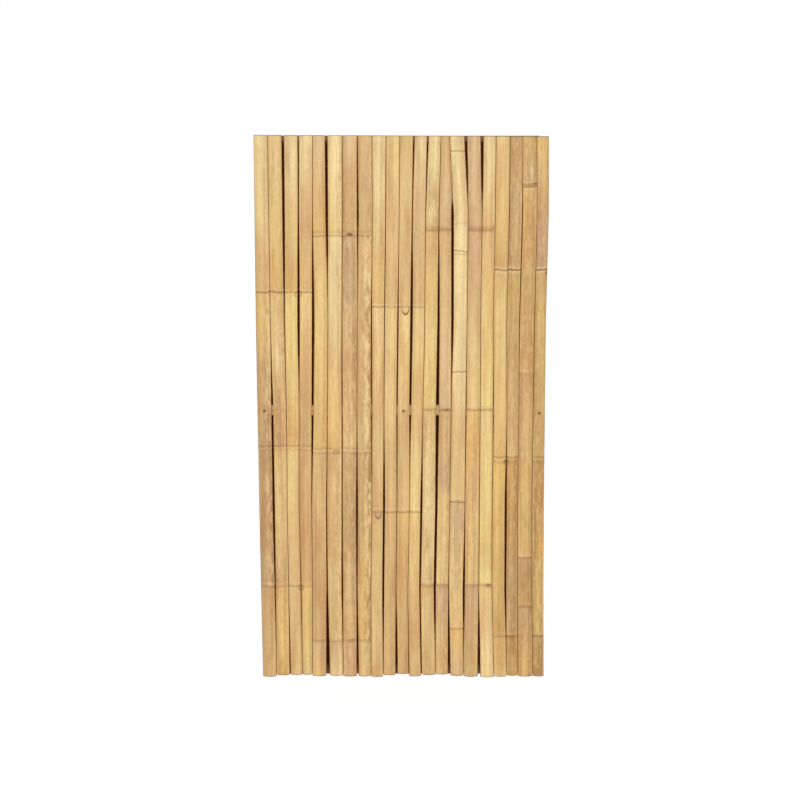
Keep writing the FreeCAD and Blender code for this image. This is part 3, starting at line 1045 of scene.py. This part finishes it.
def build_rail():
    """The rail: a split strip of a culm along X, planed to a flat seat in front."""
    low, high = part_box("middle_rail")
    middle, front = (low.z + high.z) / 2, low.y
    widths = {}
    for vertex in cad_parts["middle_rail"].data.vertices:
        widths.setdefault(round(vertex.co.x, 5), []).append(vertex.co.z)
    widths = {x: max(zs) - min(zs) for x, zs in widths.items() if len(zs) > RAIL_CORNERS}
    usual = min(width for width in widths.values() if width > RAIL_WIDTH)
    nodes = [x for x, width in sorted(widths.items()) if width > usual + RAIL_RISE]
    axis = math.sqrt(RAIL_RADIUS ** 2 - HALF_SEAT ** 2)
    edge = math.asin(usual / 2 / RAIL_RADIUS)
    depth = high.y - low.y

    def outline(dx):
        """The section at a distance from a node: upper skin, back and lower skin."""
        whole = RAIL_RADIUS + node_swelling(dx)
        seat = math.acos(min(1.0, axis / whole))
        turns = [linear_blend(seat, edge, step / RAIL_STEPS) for step in range(RAIL_STEPS + 1)]
        upper = [(front + axis - whole * math.cos(t), middle + whole * math.sin(t)) for t in turns]
        lower = [(y, 2 * middle - z) for y, z in reversed(upper)]
        back = (axis - depth) * math.tan(edge)
        return [*upper, (front + depth, middle + back), (front + depth, middle - back), *lower]

    bm = bmesh.new()
    corner = bm.verts.layers.int.new("corner")
    layers, tone = skin_layers(bm)

    def shape_level(verts, x):
        """Moves the corners of one section to their places, and notes what the skin shows there."""
        nearest = min(nodes, key=lambda node: abs(node - x))
        dx = x - nearest
        points = outline(dx)
        for vert in verts:
            y, z = points[vert[corner]]
            share = (z - middle) / (usual / 2)
            bend = RAIL_BEND * noise.noise(Vector((x * 9, share * 1.5, 3.0)))
            vert.co = Vector((x + bend * max(0.0, 1 - abs(dx) / NODE_REACH), y, z))
            vert[tone] = TONES["tan"]
            note_values(vert, layers, {
                "across": share * 0.9,
                "node_dark_and_shade": marks_at(RAIL_DARK_LINES, dx),
                "node_pale_and_highlight": marks_at(RAIL_PALE_LINES, dx),
                "to_end": min(x - low.x, high.x - x) / MM,
                "scar_ring": NO_SCAR,
                "peeled": 0.3,
                "edge_dirt_and_shade": 0.8,
            })

    places = [low.x, high.x]
    for node in nodes:
        places += [node + step * MM for step in NODE_STEPS]
    count = math.ceil((high.x - low.x) / LONGEST_STEP)
    places += [x for x in (linear_blend(low.x, high.x, step / count) for step in range(count))
               if all(abs(x - node) > 1.2 * NODE_REACH for node in nodes)]
    places = sorted(set(places))
    far_from_node = 1.0
    plain = [(places[0], y, z) for y, z in outline(far_from_node)]
    draw_out(bm, corner, plain, places, shape_level)

    # The corners run over the upper half of the skin, the two at the back and the lower half
    lower_start = RAIL_STEPS + 3
    finish_faces(bm, corner,
                 lambda corners: max(corners) <= RAIL_STEPS or min(corners) >= lower_start,
                 range(RAIL_STEPS, lower_start + 1), RAIL_ARRIS)
    return finish_piece(bm, "middle_rail", (rail_skin, rail_flesh, bamboo_end),
                        "middle_rail")


def build_nails():
    """Round nails with a slightly domed head, a ring under it and a ground point."""
    bm = bmesh.new()
    for low, high in NAILS:
        x, z = (low.x + high.x) / 2, (low.z + high.z) / 2
        head, shank, tip = 2.75 * MM, 1.25 * MM, 0.3 * MM
        profile = [(0.0, low.y), (head * 0.55, low.y + 0.08 * MM), (head * 0.9, low.y + 0.3 * MM),
                   (head, low.y + 0.55 * MM), (head, low.y + 1.0 * MM),
                   (head * 0.85, low.y + 1.2 * MM), (shank, low.y + 1.25 * MM),
                   (shank, high.y - 3 * MM), (tip, high.y - 0.05 * MM), (0.0, high.y)]
        verts = [bm.verts.new((x + radius, y, z)) for radius, y in profile]
        edges = [bm.edges.new(pair) for pair in zip(verts, verts[1:])]
        bmesh.ops.spin(bm, geom=verts + edges, cent=(x, 0, z), axis=(0, 1, 0),
                       angle=math.tau, steps=20, use_merge=True)
    bmesh.ops.remove_doubles(bm, verts=bm.verts, dist=0.01 * MM)
    bmesh.ops.recalc_face_normals(bm, faces=bm.faces)
    return finish_piece(bm, "nails", (nail_steel,), "nails")


def build_wire(name):
    """A drawn wire from side to side, with each end turned up by a tight bend."""
    low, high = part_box(name)
    level, depth = low.z + WIRE_RADIUS, (low.y + high.y) / 2
    left, right = low.x + WIRE_RADIUS, high.x - WIRE_RADIUS
    bm = bmesh.new()
    ring = bmesh.ops.create_circle(bm, segments=12, radius=WIRE_RADIUS, cap_ends=True)["verts"]
    bmesh.ops.translate(bm, verts=ring, vec=(left, depth, high.z))

    def pull(face, vec, keep_old=False):
        face, verts = pull_cap(bm, face, keep_old)
        bmesh.ops.translate(bm, verts=verts, vec=vec)
        return face

    def turn(face, centre, steps=5):
        for _ in range(steps):
            face, verts = pull_cap(bm, face)
            bmesh.ops.rotate(bm, verts=verts, cent=centre,
                             matrix=Matrix.Rotation(-math.pi / 2 / steps, 3, "Y"))
        return face

    face = pull(bm.faces[:][0], (0, 0, level + WIRE_BEND - high.z), keep_old=True)
    face = turn(face, (left + WIRE_BEND, depth, level + WIRE_BEND))
    face = pull(face, (right - left - 2 * WIRE_BEND, 0, 0))
    face = turn(face, (right - WIRE_BEND, depth, level + WIRE_BEND))
    pull(face, (0, 0, high.z - level - WIRE_BEND))
    bmesh.ops.recalc_face_normals(bm, faces=bm.faces)
    return finish_piece(bm, name, (wire_steel,), name)


nail_steel = make_steel("nail", 0.65, 0.3)
wire_steel = make_steel("wire", 0.75, 0.25)
build_rail()
build_nails()
for name in ("foot_wire", "lower_wire", "upper_wire", "head_wire"):
    build_wire(name)


def add_floor():
    """A white floor that reaches past the picture, and glows enough to meet the white round it."""
    bpy.ops.mesh.primitive_plane_add(size=60, location=(0, 0, 0))
    floor = bpy.context.object
    floor.name = "floor"
    material = bpy.data.materials.new("floor_white")
    tree, output = empty_tree(material, "OutputMaterial")
    surface = shader_node(tree, "BsdfDiffuse", {"Color": (0.8, 0.8, 0.8, 1)})
    glow = shader_node(tree, "Emission", {"Color": (1, 1, 1, 1), "Strength": FLOOR_GLOW})
    rays = shader_node(tree, "LightPath")
    seen = times(tree, rays.outputs["Is Camera Ray"], FLOOR_GLOW_SHARE)
    show_mix(tree, output, seen, surface, glow)
    floor.data.materials.append(material)


def add_room():
    """White all round to look at and in reflections, with a dimmer light from it."""
    world = bpy.data.worlds.new("studio")
    bpy.context.scene.world = world
    tree, output = empty_tree(world, "OutputWorld")
    rays = shader_node(tree, "LightPath")
    white = maths(tree, "MAXIMUM", rays.outputs["Is Camera Ray"], rays.outputs["Is Glossy Ray"])
    white = maths(tree, "MAXIMUM", white, rays.outputs["Is Transmission Ray"])
    strength = ramp(tree, white, 0.0, 1.0, ROOM_LIGHT, 1.0, smooth=False)
    sky = shader_node(tree, "Background", {"Color": (1, 1, 1, 1), "Strength": strength})
    tree.links.new(sky.outputs[0], output.inputs["Surface"])


def add_painted_shade_card():
    """A dark card behind the panel, painted shade that glows with the shadow behind it, seen only
    through the gaps and only from the front.
    """
    low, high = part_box("middle_rail")
    bpy.ops.mesh.primitive_plane_add(size=1, location=(0, 0, 0))
    card = bpy.context.object
    card.name = "painted_shade_card"
    wide = high.x - low.x - 2 * CARD_INSET
    card.data.transform(Matrix.Diagonal((wide, CARD_HEAD - CARD_FOOT, 1, 1)))
    card.data.transform(Matrix.Rotation(math.radians(90), 4, "X"))
    card.data.transform(Matrix.Translation(
        ((low.x + high.x) / 2, high.y + CARD_CLEARANCE, (CARD_FOOT + CARD_HEAD) / 2)))
    material = bpy.data.materials.new("painted_shade_card_material")
    tree, output = empty_tree(material, "OutputMaterial")
    clear = shader_node(tree, "BsdfTransparent")
    rays = shader_node(tree, "LightPath")
    facing = shader_node(tree, "NewGeometry")
    front = maths(tree, "SUBTRACT", 1.0, facing.outputs["Backfacing"])
    shown = times(tree, front, rays.outputs["Is Camera Ray"])

    # It is lighter near the foot and the head, where light gets in behind the panel
    place = shader_node(tree, "TexCoord").outputs["Object"]
    height = shader_node(tree, "SeparateXYZ", {0: place}).outputs["Z"]
    foot_light = ramp(tree, height, 0.052, 0.0, 0.0, 0.5)
    head_light = ramp(tree, height, 1.77, 1.79, 0.0, 0.7)
    colour = mix_colours(tree, maths(tree, "MAXIMUM", foot_light, head_light),
                         PAINTS["card"], PAINTS["painted light on card"])
    # The card glows with painted shade, the colour of the shadow behind the panel
    dark = shader_node(tree, "Emission", {"Color": colour, "Strength": 1.0})
    show_mix(tree, output, shown, clear, dark)
    card.data.materials.append(material)


def add_light():
    """One large soft light in front of the panel."""
    light = bpy.data.lights.new("key", "AREA")
    light.shape = "RECTANGLE"
    light.size, light.size_y = LIGHT_SIZE
    light.energy = LIGHT_POWER
    lamp = add_object("key", light)
    lamp.location = LIGHT_PLACE
    lamp.rotation_mode = "QUATERNION"
    lamp.rotation_quaternion = (Vector(LIGHT_AIM) - Vector(LIGHT_PLACE)).to_track_quat("-Z", "Y")


def add_camera():
    """The photograph's camera, at the height of the panel's head and looking a little down."""
    camera = bpy.data.cameras.new("camera")
    camera.sensor_width = 36
    camera.lens = CAMERA_LENS
    camera.clip_start, camera.clip_end = 0.1, 100
    holder = add_object("camera", camera)
    holder.location = CAMERA_PLACE
    holder.rotation_euler = (math.radians(90 - CAMERA_DIP), 0, 0)
    bpy.context.scene.camera = holder


add_floor()
add_room()
add_painted_shade_card()
add_light()
add_camera()
bpy.context.scene.view_settings.view_transform = "Standard"
